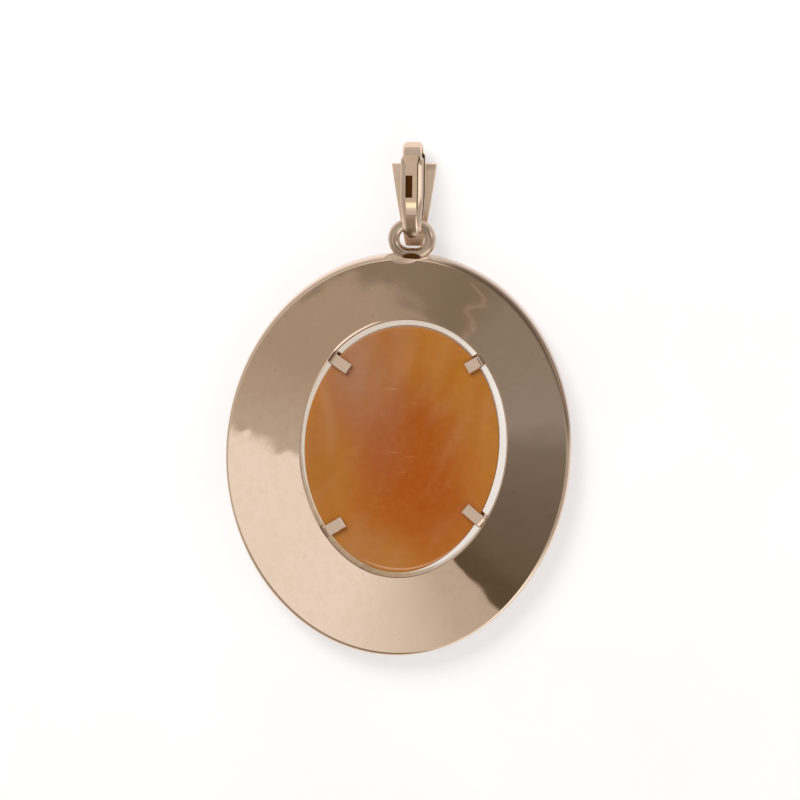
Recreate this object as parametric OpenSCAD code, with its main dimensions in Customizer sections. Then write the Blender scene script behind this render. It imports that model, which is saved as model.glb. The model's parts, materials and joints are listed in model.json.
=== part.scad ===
// Oval shell cameo pendant, lying face down: the back of the frame looks up (+Z)
// and the bail points along +Y. The origin is under the middle of the whole piece,
// on the surface that it lies on.

/* [Frame] */
// Width of the oval frame over its outer edge
frame_w = 36.2; // [33:0.1:42]
// Length of the oval frame over its outer edge, without ring and bail
frame_l = 43.1; // [41:0.1:50]
// Height of the frame, from the front rim to the back edge
frame_h = 2.8; // [2.6:0.1:3.6]
// Radius of the rounded outer edge of the back
edge_round = 0.5; // [0.3:0.05:0.8]
// How far the dished back starts inside the outer edge
dish_inset = 0.55; // [0.3:0.05:0.9]
// Slope of the dished back, in degrees, falling towards the opening
dish_slope = 3; // [1:0.25:4]
// Thickness of the polished plate at the opening
plate_t = 1; // [0.6:0.1:1.2]
// Width of the raised rim round the hidden front
rim_w = 1; // [0.7:0.1:1.6]
// Width of the raised collar round the opening, on the hidden front
collar_w = 0.8; // [0.6:0.1:1.2]

/* [Opening] */
// Width of the oval opening
opening_w = 21.8; // [19:0.1:23.5]
// Length of the oval opening
opening_l = 27.8; // [25:0.1:29]
// How far the opening sits above the middle of the frame
opening_up = 0.7; // [0:0.1:1]
// Chamfer on the back edge of the opening
opening_chamfer = 0.2; // [0.1:0.05:0.3]

/* [Cameo] */
// Open gap between the cameo and the frame, at the sides and at the ends
cameo_gap = [0.85, 0.72]; // [0.5:0.01:1]
// Height of the middle of the cameo's back over the resting surface
cameo_back = 2.13; // [1.8:0.01:2.4]
// Height of the middle of the cameo's front ground over the resting surface
cameo_front = 0.57; // [0.5:0.01:0.9]
// Radius of the hollow in the cameo's back
back_curve = 220; // [180:5:400]
// Radius of the domed front
front_curve = 200; // [180:5:400]
// Height of the carved relief over the front ground
relief = 0.32; // [0.15:0.01:0.4]
// Width of the domed heart of the carved flower
heart_w = 2.6; // [1.6:0.1:3.4]
// Width of its five petals
petal_w = 3.8; // [3:0.1:4.2]
// Narrow ground between one petal and the next, and between them and the heart
petal_gap = 0.25; // [0.15:0.05:0.5]
// Length of the carved leaves
leaf_l = 4.4; // [3:0.1:5]
// Width of the carved leaves
leaf_w = 2.2; // [1.5:0.1:2.6]

/* [Claws] */
// Width of each folded claw
claw_w = 1.2; // [0.8:0.05:1.6]
// Thickness of the claw metal
claw_t = 0.35; // [0.25:0.01:0.45]
// Reach of each claw over the cameo's back, from the wall of the opening
claw_l = 2; // [1.6:0.1:2.8]
// Reach of each claw's toe under the cameo's front, from the wall of the opening
toe_l = 1.15; // [1:0.05:1.4]
// Clearance between the claws and the cameo
claw_clear = 0.05; // [0.03:0.01:0.1]

/* [Ring] */
// Wire diameter of the soldered ring
ring_wire = 1.2; // [0.9:0.05:1.3]
// Width of the ring's hole
ring_hole_w = 2.6; // [2.5:0.1:3.2]
// Height of the ring's hole, along the pendant
ring_hole_l = 1.9; // [1.8:0.05:2.5]
// Distance of the ring's hole from the outer edge of the frame
ring_off = 0.48; // [0.3:0.02:0.8]
// Height of the middle of the ring's wire over the resting surface
ring_z = 2.5; // [2.2:0.05:2.8]
// Radius of the solder seat under the ring
solder_r = 1; // [0.8:0.05:1.2]

/* [Bail] */
// Width of the strip at its crown
strip_w = 2; // [1.6:0.05:2.2]
// Width of the strip in its back
strip_back_w = 2.4; // [2:0.05:2.8]
// Length over which the rounded lower end widens to the back
strip_taper = 4; // [2:0.1:5]
// Length of the shoulder between the back and the narrower crown
strip_shoulder = 0.35; // [0.2:0.05:0.6]
// Thickness of the strip
strip_t = 0.5; // [0.4:0.05:0.6]
// Outer depth of the strip's loop at its lower end
loop_low_d = 4; // [3.8:0.1:4.6]
// Outer depth of the strip's loop at its crown
loop_top_d = 3.2; // [2.8:0.1:4]
// Outer length of the loop, from lower end to crown
loop_l = 10.1; // [9.5:0.1:13]
// Radius of the corners of the crown
crown_round = 0.45; // [0.2:0.05:0.6]
// Clearance on each side of the strip's rounded lower end in the ring's hole
side_clear = 0.35; // [0.35:0.01:0.45]
// Clearance between the loop and the ring's wire
ring_clear = 0.35; // [0.3:0.01:0.4]
// Thickness of the fan-shaped front plate
fan_t = 0.5; // [0.4:0.05:0.7]
// Width of the fan at its top edge
fan_top_w = 4.7; // [4:0.1:6]
// Width of the fan at its foot
fan_foot_w = 1.8; // [1.2:0.1:2]
// Length of the fan
fan_l = 8.7; // [7.5:0.1:9.5]
// Gap between the fan's foot and the outer edge of the frame
fan_gap = 0.35; // [0.3:0.05:0.6]
// Width of the plain sunk panel in the back of the strip
panel_w = 0.65; // [0.4:0.05:1]
// Length of the sunk panel
panel_l = 2.3; // [1.5:0.1:3]
// Depth of the sunk panel
panel_d = 0.3; // [0.15:0.05:0.35]
// How far the sunk panel sits left of the strip's middle
panel_left = 0.3; // [0:0.05:0.5]
// Lean of the bail on its ring, in degrees
bail_lean = 3; // [0:0.5:3]

/* [Hidden] */
$fn = 96;
gold = "#c8a57c";
shell = "#b0601f";
// Reach of a cutting shape past what it cuts
over = 1;
// Reach of the strip's outline past the round ends of its loop
skim = 0.08;
// How much fuller the end arcs of an oval are, so that they cross the side arcs instead of just touching
ease = 0.08;
// Height of the leaves, as a share of the relief
leaf_share = 0.7;

// Radius of the arc or ball whose cap is w wide and h high
function cap_r(w, h) = (w * w / 4 + h * h) / (2 * h);
// Radii of the four arcs of an oval with half width a and half length b
function end_r(a, b) = (a * a + b * b - (b - a) * sqrt(a * a + b * b)) / (2 * b);
function side_r(a, b) = (a * a + b * b + (b - a) * sqrt(a * a + b * b)) / (2 * a);
// Direction, from the side arc's centre, in which the arcs meet
function meet(a, b) = atan2(b - end_r(a, b), side_r(a, b) - a);
// Direction folded into the first quarter
function quarter(t) = abs(abs((t + 360) % 360 - 180) - 90);
// Point of the oval's edge whose outward direction is t
function edge_at(a, b, t) =
    90 - quarter(t) < meet(a, b)
    ? [sign(cos(t)) * (a - side_r(a, b)) + side_r(a, b) * cos(t), side_r(a, b) * sin(t)]
    : [end_r(a, b) * cos(t), sign(sin(t)) * (b - end_r(a, b)) + end_r(a, b) * sin(t)];

frame_a = frame_w / 2;
frame_b = frame_l / 2;
open_a = opening_w / 2;
open_b = opening_l / 2;
cameo_a = open_a - cameo_gap[0];
cameo_b = open_b - cameo_gap[1];
border = frame_b - open_b + opening_up;
dish_in = border + over;
dish_fall = tan(dish_slope);
plate_back = frame_h - (border - opening_up - dish_inset) * dish_fall;
plate_under = plate_back - plate_t;
claw_under = cameo_back + pow(open_b - 2 * claw_t, 2) / (2 * back_curve) + claw_clear;
toe_top = cameo_front + pow(cameo_a, 2) / (2 * front_curve) - claw_clear;
// Each claw: outward direction of the wall that carries it, and its own twist
claws = [[39, -5], [143, -5], [216, 3], [331, -5]];

wire_r = ring_wire / 2;
ring_end_r = ring_hole_l / 2 + wire_r;
ring_half = (ring_hole_w - ring_hole_l) / 2;
ring_y = frame_b + ring_off + ring_hole_l / 2;
pivot_y = ring_y + ring_end_r;

low_r = loop_low_d / 2;
top_r = loop_top_d / 2;
low_y = pivot_y - wire_r - ring_clear - strip_t + low_r;
top_y = low_y - low_r + loop_l - top_r;
foot_r = ring_hole_w / 2 - side_clear;
loop_tilt = atan2(top_r - low_r, top_y - low_y);
fan_foot = frame_b + fan_gap;
panel_y = top_y - panel_l;

crown_x = strip_w / 2 - crown_round;
crown_reach = (top_y + top_r - pivot_y) * cos(bail_lean) + crown_x * sin(bail_lean);
middle_y = (pivot_y + crown_reach - frame_b) / 2;

// Wedge between the four places where an oval's arcs meet
module oval_wedge(a, b) {
    r = end_r(a, b);
    far = 2 * r;
    turn = meet(a, b);
    up = b - r;
    polygon([
        [0, up], [-far * cos(turn), up + far * sin(turn)], [-far * cos(turn), -up - far * sin(turn)],
        [0, -up], [far * cos(turn), -up - far * sin(turn)], [far * cos(turn), up + far * sin(turn)]
    ]);
}

// Flat oval, grown or shrunk evenly all round
module oval(a, b, grow = 0) {
    for_end(a, b) circle(end_r(a, b) + ease + grow);
    intersection() {
        for_side(a, b, 1) circle(side_r(a, b) + grow);
        for_side(a, b, -1) circle(side_r(a, b) + grow);
        oval_wedge(a, b);
    }
}

module for_end(a, b) {
    for (s = [-1, 1]) translate([0, s * (b - end_r(a, b) - ease), 0]) children();
}

module for_side(a, b, s) {
    translate([s * (a - side_r(a, b)), 0]) children();
}

// Solid oval: the first child is turned for the ends, the second for the sides
module oval_solid(a, b) {
    for_end(a, b) children(0);
    intersection() {
        for_side(a, b, 1) children(1);
        for_side(a, b, -1) children(1);
        translate([0, 0, -frame_h]) linear_extrude(4 * frame_h) oval_wedge(a, b);
    }
}

// Disc with a rounded upper edge
module puck(r) {
    rotate_extrude() {
        square([r - edge_round, frame_h]);
        square([r, frame_h - edge_round]);
        translate([r - edge_round, frame_h - edge_round]) circle(edge_round);
    }
}

// Shallow cone that hollows the back
module dish(r) {
    low = frame_h - (dish_in - dish_inset) * dish_fall;
    rise = frame_h + over * dish_fall - low;
    translate([0, 0, low]) cylinder(h = rise, r1 = r - dish_in, r2 = r - dish_inset + over);
}

// Cone that bevels the back edge of the opening
module bevel(r) {
    translate([0, 0, plate_back - opening_chamfer]) cylinder(h = over, r1 = r, r2 = r + over);
}

// Claw from its front toe, up the wall of the opening and over the cameo's back
module claw() {
    root = collar_w / 2;
    translate([0, claw_w / 2, 0]) rotate([90, 0, 0]) linear_extrude(claw_w) difference() {
        union() {
            translate([-claw_t, toe_top - claw_t]) square([claw_t + root, plate_back - toe_top]);
            translate([-claw_t, toe_top - claw_t]) square([claw_t, claw_under + claw_t - toe_top]);
            translate([-toe_l, toe_top - claw_t]) square([toe_l, claw_t]);
            translate([-claw_l, claw_under]) square([claw_l - claw_t, claw_t]);
            translate([-claw_t, claw_under]) circle(claw_t);
        }
        translate([-claw_l, toe_top]) square([claw_l - claw_t, claw_under - toe_top]);
    }
}

// Oval ring of round wire
module ring() {
    for (s = [-1, 1]) {
        translate([s * ring_half, 0, 0]) rotate(-90 * s) rotate_extrude(angle = 180)
            translate([ring_end_r, 0]) circle(wire_r);
        translate([-ring_half, s * ring_end_r, 0]) rotate([0, 90, 0]) cylinder(h = 2 * ring_half, r = wire_r);
    }
}

module frame() {
    color(gold) translate([0, -middle_y, 0]) {
        difference() {
            oval_solid(frame_a, frame_b) {
                puck(end_r(frame_a, frame_b) + ease);
                puck(side_r(frame_a, frame_b));
            }
            oval_solid(frame_a, frame_b) {
                dish(end_r(frame_a, frame_b) + ease);
                dish(side_r(frame_a, frame_b));
            }
            translate([0, opening_up, 0]) {
                translate([0, 0, -over]) linear_extrude(frame_h + 2 * over) oval(open_a, open_b);
                oval_solid(open_a, open_b) {
                    bevel(end_r(open_a, open_b) + ease);
                    bevel(side_r(open_a, open_b));
                }
            }
            translate([0, 0, -over]) linear_extrude(over + plate_under) difference() {
                oval(frame_a, frame_b, -rim_w);
                translate([0, opening_up]) oval(open_a, open_b, collar_w);
            }
        }
        for (c = claws) translate(concat(edge_at(open_a, open_b, c[0]) + [0, opening_up], 0))
            rotate(c[0] + c[1]) claw();
        translate([0, ring_y, ring_z]) ring();
        translate([0, frame_b - solder_r / 3, ring_z - wire_r / 2]) sphere(solder_r);
    }
}

// Pointed leaf outline from two arcs, its stalk end at the origin
module leaf() {
    r = cap_r(leaf_l, leaf_w / 2);
    translate([leaf_l / 2, 0]) intersection() {
        translate([0, r - leaf_w / 2]) circle(r);
        translate([0, leaf_w / 2 - r]) circle(r);
    }
}

// Cap of a ball, standing out of the front ground
module bud(width) {
    r = cap_r(width, relief);
    translate([0, 0, cameo_front + r - relief]) sphere(r);
}

// Carved flower and its leaves, in the cameo's own place
module carving() {
    petal_out = max((heart_w + petal_w) / 2 + petal_gap, (petal_w + petal_gap) / (2 * sin(36)));
    bud(heart_w);
    for (i = [0:4]) rotate(90 + 72 * i) translate([petal_out, 0, 0]) bud(petal_w);
    intersection() {
        linear_extrude(cameo_front + relief) for (i = [0:4]) rotate(54 + 72 * i)
            translate([petal_out + petal_w / 4, 0]) leaf();
        translate([0, 0, cameo_front - leaf_share * relief + front_curve]) sphere(front_curve);
    }
}

module cameo() {
    color(shell) translate([0, opening_up - middle_y, 0]) difference() {
        union() {
            intersection() {
                linear_extrude(frame_h) oval(cameo_a, cameo_b);
                translate([0, 0, cameo_front + front_curve]) sphere(front_curve);
            }
            intersection() {
                carving();
                linear_extrude(frame_h / 2) oval(cameo_a, cameo_b, -over);
            }
        }
        translate([0, 0, cameo_back + back_curve]) sphere(back_curve);
    }
}

// Side view of the strip's loop, shrunk by inset
module loop_side(inset) {
    low = [low_y, fan_t + low_r];
    top = [top_y, fan_t + top_r];
    back = [cos(90 + 2 * loop_tilt), sin(90 + 2 * loop_tilt)];
    translate(low) circle(low_r - inset);
    translate(top) circle(top_r - inset);
    polygon([
        low - [0, low_r - inset], top - [0, top_r - inset],
        top + back * (top_r - inset), low + back * (low_r - inset)
    ]);
}

// View of the strip from behind: rounded foot, wide back, narrower crown
module strip_outline() {
    foot = low_y - low_r - skim;
    crown = top_y + top_r + skim;
    wide = [foot + foot_r + strip_taper, top_y];
    half = strip_w / 2;
    translate([0, foot + foot_r]) circle(foot_r);
    polygon([
        [-foot_r, foot + foot_r], [foot_r, foot + foot_r], [strip_back_w / 2, wide[0]], [strip_back_w / 2, wide[1]],
        [half, wide[1] + strip_shoulder], [half, crown - crown_round], [-half, crown - crown_round],
        [-half, wide[1] + strip_shoulder], [-strip_back_w / 2, wide[1]], [-strip_back_w / 2, wide[0]]
    ]);
    translate([-crown_x, crown - 2 * crown_round]) square([2 * crown_x, 2 * crown_round]);
    for (s = [-1, 1]) translate([s * crown_x, crown - crown_round]) circle(crown_round);
}

module fan() {
    top = fan_foot + fan_l;
    linear_extrude(fan_t) polygon([
        [-fan_foot_w / 2, fan_foot], [fan_foot_w / 2, fan_foot], [fan_top_w / 2, top], [-fan_top_w / 2, top]
    ]);
}

module bail() {
    color(gold) translate([0, pivot_y - middle_y, 0]) rotate(bail_lean) translate([0, -pivot_y, 0]) {
        fan();
        difference() {
            intersection() {
                rotate([90, 0, 90]) linear_extrude(strip_back_w + over, center = true) difference() {
                    loop_side(0);
                    loop_side(strip_t);
                }
                linear_extrude(fan_t + loop_low_d + over) strip_outline();
            }
            translate([0, low_y, fan_t + low_r]) rotate([2 * loop_tilt, 0, 0])
                translate([-panel_left - panel_w / 2, panel_y - low_y - panel_l / 2, low_r - panel_d])
                    cube([panel_w, panel_l, over]);
        }
    }
}

frame();
cameo();
bail();
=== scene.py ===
"""Oval shell cameo pendant, lying face down: the looks of its frame, shell and bail.

Lengths are in millimetres in the classes, and become metres when a mesh is made.
"""

import json
import logging
import math
from dataclasses import dataclass, field
from enum import Enum
from typing import Callable, ClassVar, Iterable, Sequence

import bmesh
import bpy
from mathutils import Matrix, Vector, noise


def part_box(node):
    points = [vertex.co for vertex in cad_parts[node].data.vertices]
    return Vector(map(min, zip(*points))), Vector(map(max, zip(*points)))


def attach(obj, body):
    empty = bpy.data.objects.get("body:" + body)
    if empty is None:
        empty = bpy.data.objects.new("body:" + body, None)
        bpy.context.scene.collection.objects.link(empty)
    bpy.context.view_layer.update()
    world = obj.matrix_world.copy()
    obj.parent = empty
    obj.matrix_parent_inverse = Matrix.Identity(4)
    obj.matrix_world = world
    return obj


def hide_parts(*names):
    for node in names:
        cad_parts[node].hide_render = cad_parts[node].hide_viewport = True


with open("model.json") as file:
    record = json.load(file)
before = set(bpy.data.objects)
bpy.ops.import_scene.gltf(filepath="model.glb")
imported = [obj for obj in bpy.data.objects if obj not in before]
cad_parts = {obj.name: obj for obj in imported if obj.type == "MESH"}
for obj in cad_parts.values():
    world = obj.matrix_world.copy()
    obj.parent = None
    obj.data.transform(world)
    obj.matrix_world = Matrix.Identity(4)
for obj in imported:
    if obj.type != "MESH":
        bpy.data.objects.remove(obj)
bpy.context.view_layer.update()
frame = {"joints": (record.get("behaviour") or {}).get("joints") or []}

LOG = logging.getLogger("pendant")
MM = 0.001
FULL_TURN = 2 * math.pi
NUDGE = Vector((0.235, 0.0, 0.0))
Piece = bpy.types.Object
Socket = bpy.types.NodeSocket
Colour = tuple[float, float, float]
Cards = tuple[tuple[float, float, float], ...]
Stations = list[tuple[Vector, Vector]]


class Body(Enum):
    """Moving bodies of the pendant."""

    PENDANT = "pendant"
    BAIL = "bail"


class Node(Enum):
    """Solids that the pieces stand for."""

    FRAME = "frame"
    CAMEO = "cameo"
    BAIL = "bail"


class Slot(Enum):
    """Material slots of the pendant."""

    GOLD = "polished_gold"
    SHELL = "carved_shell"
    BAIL = "bail_gold"


def corners(node: Node) -> tuple[Vector, Vector]:
    """Lowest and highest corners of a solid, in millimetres."""
    low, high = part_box(node.value)
    return low / MM, high / MM


def smooth(value: float, low: float, high: float) -> float:
    """Ease from 0 at low to 1 at high."""
    share = min(max((value - low) / (high - low), 0.0), 1.0)
    return share * share * (3 - 2 * share)


def rise(height: float) -> Vector:
    """Vector straight up."""
    return Vector((0.0, 0.0, height))


def heading(turn: float) -> Vector:
    """Level unit vector that points to a turn."""
    return Vector((math.cos(turn), math.sin(turn), 0.0))


def all_round(count: int) -> list[float]:
    """Even turns all round, in radians."""
    return [FULL_TURN * i / count for i in range(count)]


def quarter(steps: int) -> list[tuple[float, float]]:
    """Even steps of a quarter bend of radius 1: 1 less the cosine and 1 less the sine of each."""
    bends = [math.pi / 2 * i / steps for i in range(steps + 1)]
    return [(1 - math.cos(bend), 1 - math.sin(bend)) for bend in bends]


@dataclass(frozen=True)
class Oval:
    """Flat oval, a little out of true, read by the direction of its outward normal."""

    half_w: float
    half_l: float
    middle: Vector
    skewed: float = 0.0
    lobed: float = 0.0
    lobe_at: float = 0.0

    def point(self, turn: float, inset: float = 0.0, height: float = 0.0) -> Vector:
        """Point of the edge, or of a line at an even distance inside it.

        Args:
            turn: Direction of the outward normal, in radians.
            inset: Distance inside the edge, or outside it where negative.
            height: Height of the point.

        Returns:
            The point.
        """
        out = heading(turn)
        along = Vector((-out.y, out.x, 0.0))
        reach = math.hypot(self.half_w * out.x, self.half_l * out.y)
        edge = Vector((self.half_w**2 * out.x / reach, self.half_l**2 * out.y / reach, height))
        lobe = 3 * (turn - math.radians(self.lobe_at))
        swell = self.skewed * math.sin(2 * turn) + self.lobed * math.cos(lobe)
        drift = 2 * self.skewed * math.cos(2 * turn) - 3 * self.lobed * math.sin(lobe)
        return self.middle + edge + out * (swell - inset) + along * drift

    def part_way(self, turn: float, share: float) -> Vector:
        """Point at a share of the way from the middle to the edge."""
        return self.middle + (self.point(turn) - self.middle) * share

    def shares(self, point: Vector, wider: float = 0.0) -> tuple[float, float]:
        """Place of a point in shares of the half width and the half length, both made wider."""
        away = point - self.middle
        return away.x / (self.half_w + wider), away.y / (self.half_l + wider)


def draft(name: str, points: Iterable[Vector], edges: Sequence = (), faces: Sequence = ()) -> Piece:
    """Put a new mesh in the scene, as an object at the origin.

    Args:
        name: Name of the piece.
        points: Its points, in millimetres.
        edges: Its loose edges.
        faces: Its faces.

    Returns:
        The piece.
    """
    data = bpy.data.meshes.new(name)
    data.from_pydata([point * MM for point in points], edges, faces)
    piece = bpy.data.objects.new(name, data)
    bpy.context.scene.collection.objects.link(piece)
    return piece


def true_up(piece: Piece) -> None:
    """Merge doubles and point all faces of a closed piece outwards.

    Args:
        piece: The piece.
    """
    shape = bmesh.new()
    shape.from_mesh(piece.data)
    bmesh.ops.remove_doubles(shape, verts=shape.verts, dist=MM * 1e-4)
    bmesh.ops.recalc_face_normals(shape, faces=shape.faces)
    shape.to_mesh(piece.data)
    shape.free()


def settle(piece: Piece) -> None:
    """Turn what a piece's modifiers make into its own plain mesh.

    Args:
        piece: The piece.
    """
    bpy.context.view_layer.update()
    made = piece.evaluated_get(bpy.context.evaluated_depsgraph_get())
    data = bpy.data.meshes.new_from_object(made)
    piece.modifiers.clear()
    piece.data = data


def mark(piece: Piece, values: Sequence[float]) -> None:
    """Note on each point of a piece how much painted shade it takes, from 0 to 1."""
    piece.data.attributes.new("tarnish_and_painted_shade", "FLOAT", "POINT").data.foreach_set("value", values)


def paint_shade(piece: Piece, rule: Callable[[Vector], float]) -> None:
    """Paint shade on a piece by a rule of the place, in millimetres."""
    mark(piece, [rule(point.co / MM) for point in piece.data.vertices])


class Skin:
    """Closed mesh made of loops of points that are joined to each other."""

    def __init__(self, rows: Iterable[Sequence[Vector]], endless: bool = False) -> None:
        """Take loops of points of one length, and span each and the next with a band of faces.

        Args:
            rows: The loops, in order.
            endless: Whether the last loop is joined to the first.
        """
        self.points: list[Vector] = []
        self.faces: list[tuple[int, ...]] = []
        self.rings: list[list[int]] = []
        for row in rows:
            start = len(self.points)
            self.points.extend(row)
            self.rings.append(list(range(start, len(self.points))))
        for first, second in zip(self.rings, self.rings[1:] + self.rings[:1] * endless):
            for i in range(len(first)):
                j = (i + 1) % len(first)
                self.faces.append((first[i], first[j], second[j], second[i]))

    def close(self, *tips: Vector) -> None:
        """Close the first and the last loop, each with triangles that meet in a tip.

        Args:
            tips: The two tips.
        """
        for ring, tip in zip((self.rings[0], self.rings[-1]), tips):
            self.points.append(tip)
            self.faces += [(a, b, len(self.points) - 1) for a, b in zip(ring, ring[1:] + ring[:1])]

    def piece(self, name: str) -> Piece:
        """Make a piece with its faces pointing outwards.

        Args:
            name: Name of the piece.

        Returns:
            The piece.
        """
        piece = draft(name, self.points, [], self.faces)
        true_up(piece)
        return piece


class Part:
    """Sub-assembly of the pendant: what it moves with, the solid it stands for and its slot."""

    body: ClassVar[Body] = Body.PENDANT
    node: ClassVar[Node] = Node.FRAME
    slot: ClassVar[Slot] = Slot.GOLD
    crease: ClassVar[float] = 32.0

    def dress(self, piece: Piece, material: bpy.types.Material) -> None:
        """Smooth a piece but for its creases, nudge it to its place and give it its looks and links.

        Args:
            piece: The piece.
            material: Its finish.
        """
        piece.data.shade_smooth()
        piece.data.set_sharp_from_angle(angle=math.radians(self.crease))
        piece.data.transform(Matrix.Translation(NUDGE * MM))
        piece.data.materials.clear()
        piece.data.materials.append(material)
        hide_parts(self.node.value)
        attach(piece, self.body.value)


class Graph:
    """Node tree of a material, a world or a Geometry Nodes group, with short calls to fill it."""

    def __init__(self, tree: bpy.types.NodeTree, place: str = "") -> None:
        """Take a tree, whose patterns read this output of the Texture Coordinate node."""
        self.tree = tree
        self.where = self.add("ShaderNodeTexCoord").outputs[place] if place else None

    def feed(self, node: bpy.types.Node, inputs: dict) -> None:
        """Give a node its values and links.

        Args:
            node: The node.
            inputs: Values or linked sockets, by the input's name or number.
        """
        for key, value in inputs.items():
            if isinstance(value, Socket):
                self.tree.links.new(value, node.inputs[key])
            else:
                node.inputs[key].default_value = value

    def add(self, kind: str, inputs: dict | None = None, **settings: object) -> bpy.types.Node:
        """Add a node.

        Args:
            kind: Type name of the node.
            inputs: Values or linked sockets, by the input's name or number.
            settings: Properties of the node itself.

        Returns:
            The node.
        """
        node = self.tree.nodes.new(kind)
        for name, value in settings.items():
            setattr(node, name, value)
        self.feed(node, inputs or {})
        return node

    def math(self, operation: str, *values: object, clamp: bool = False) -> Socket:
        """Result of a Math node, kept between 0 and 1 where clamped."""
        inputs = dict(enumerate(values))
        return self.add("ShaderNodeMath", inputs, operation=operation, use_clamp=clamp).outputs[0]

    def times(self, first: Socket, second: object) -> Socket:
        """Product of two values."""
        return self.math("MULTIPLY", first, second)

    def plus(self, start: object, value: Socket, factor: float) -> Socket:
        """Start, plus a value times a factor."""
        return self.math("MULTIPLY_ADD", value, factor, start)

    def less(self, value: Socket, taken: float) -> Socket:
        """Value less a number."""
        return self.math("SUBTRACT", value, taken)

    def vector(self, operation: str, *values: object) -> Socket:
        """Result of a Vector Math node: a vector for a difference or a product, or else a number."""
        node = self.add("ShaderNodeVectorMath", dict(enumerate(values)), operation=operation)
        return node.outputs[0 if operation in ("SUBTRACT", "MULTIPLY") else 1]

    def dot(self, vector: Socket, *axis: float) -> Socket:
        """Length of a vector along an axis."""
        return self.vector("DOT_PRODUCT", vector, axis)

    def shares(self, oval: Oval) -> Socket:
        """Place in shares of a dressed oval's half width and half length."""
        away = self.vector("SUBTRACT", self.where, tuple((oval.middle + NUDGE) * MM))
        return self.vector("MULTIPLY", away, (1 / (oval.half_w * MM), 1 / (oval.half_l * MM), 0.0))

    def ease(self, value: Socket, low: float, high: float) -> Socket:
        """Value eased from 0 at low to 1 at high."""
        inputs = {"Value": value, "From Min": low, "From Max": high}
        return self.add("ShaderNodeMapRange", inputs, interpolation_type="SMOOTHSTEP").outputs["Result"]

    def mix(self, share: object, *colours: object) -> Socket:
        """Two colours mixed, by the share of the second."""
        first, second = [(*value, 1.0) if isinstance(value, tuple) else value for value in colours]
        return self.add("ShaderNodeMix", {0: share, 6: first, 7: second}, data_type="RGBA").outputs[2]

    def veil(self, tone: object, mask: Socket, weight: float, colour: Colour) -> Socket:
        """Tone under a veil of colour, as thick as the mask times its weight."""
        return self.mix(self.times(mask, weight), tone, colour)

    def noise(self, scale: float, detail: float = 2.0, where: Socket | None = None) -> Socket:
        """Even noise, with this many patches for each metre and this many finer layers."""
        inputs = {"Vector": where or self.where, "Scale": scale, "Detail": detail}
        return self.add("ShaderNodeTexNoise", inputs).outputs["Fac"]

    def patches(self, scale: float, detail: float, low: float, high: float) -> Socket:
        """Soft patches: noise eased from 0 at low to 1 at high."""
        return self.ease(self.noise(scale, detail), low, high)

    def streaks(self, scale: float, stretch: float, angle: float) -> Socket:
        """Noise drawn out along one direction of the plane.

        Args:
            scale: Streaks for each metre of their length.
            stretch: How many times longer than wide they are.
            angle: Their direction, in radians.

        Returns:
            The noise.
        """
        turned = {"Vector": self.where, "Rotation": (0.0, 0.0, angle), "Scale": (1.0, 1 / stretch, 1.0)}
        node = self.add("ShaderNodeMapping", turned, vector_type="TEXTURE")
        return self.noise(scale, 1.0, node.outputs[0])

    def hairlines(self, angles: Sequence[float], cut: float) -> Socket:
        """Draw hairline scratches in a few directions.

        Args:
            angles: Their directions, in radians.
            cut: How rare the scratches are, from 0.5 to 0.8.

        Returns:
            1 on a scratch, 0 beside it.
        """
        lines: object = 0.0
        for angle in angles:
            streaks = self.ease(self.streaks(320.0, 28.0, angle), cut, cut + 0.03)
            lines = self.math("MAXIMUM", lines, streaks)
        return lines

    def bump(self, layers: Sequence[tuple[Socket, float, float, bool]]) -> Socket:
        """Lay fine reliefs over each other.

        Args:
            layers: Height, strength, depth in millimetres and whether it is sunk, of each.

        Returns:
            The normal.
        """
        below: dict[str, Socket] = {}
        for height, strength, depth, sunk in layers:
            inputs = {"Height": height, "Strength": strength, "Distance": depth * MM, **below}
            below = {"Normal": self.add("ShaderNodeBump", inputs, invert=sunk).outputs[0]}
        return below["Normal"]

    def band(self, bearing: Socket, cards: Cards, start: float) -> Socket:
        """Read a tone from a band of cards of light.

        Args:
            bearing: Where to read it, in degrees.
            cards: Bearing, light and warmth of each, in order.
            start: Bearing at which the band begins.

        Returns:
            The tone.
        """
        node = self.add("ShaderNodeValToRGB", {"Fac": self.plus(-start / 360, bearing, 1 / 360)})
        stops = node.color_ramp.elements
        stops.remove(stops[1])
        for i, (bearing, light, warmth) in enumerate(cards):
            stop = stops.new((bearing - start) / 360) if i else stops[0]
            stop.position = (bearing - start) / 360
            stop.color = (light, light * (1 - 0.45 * warmth), light * (1 - warmth), 1.0)
        return node.outputs["Color"]


class Paint(Graph):
    """Material in the making, with its shader and object coordinates."""

    def __init__(self, name: str) -> None:
        """Start an empty material.

        Args:
            name: Name of the material.
        """
        self.material = bpy.data.materials.new(name)
        self.material.use_nodes = True
        self.material.node_tree.nodes.clear()
        super().__init__(self.material.node_tree, "Object")
        self.shader = self.add("ShaderNodeBsdfPrincipled")
        self.add("ShaderNodeOutputMaterial", {"Surface": self.shader.outputs[0]})

    def finish(self, inputs: dict[str, object]) -> bpy.types.Material:
        """Give the shader its values and links, and return the material."""
        self.feed(self.shader, inputs)
        return self.material


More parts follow.
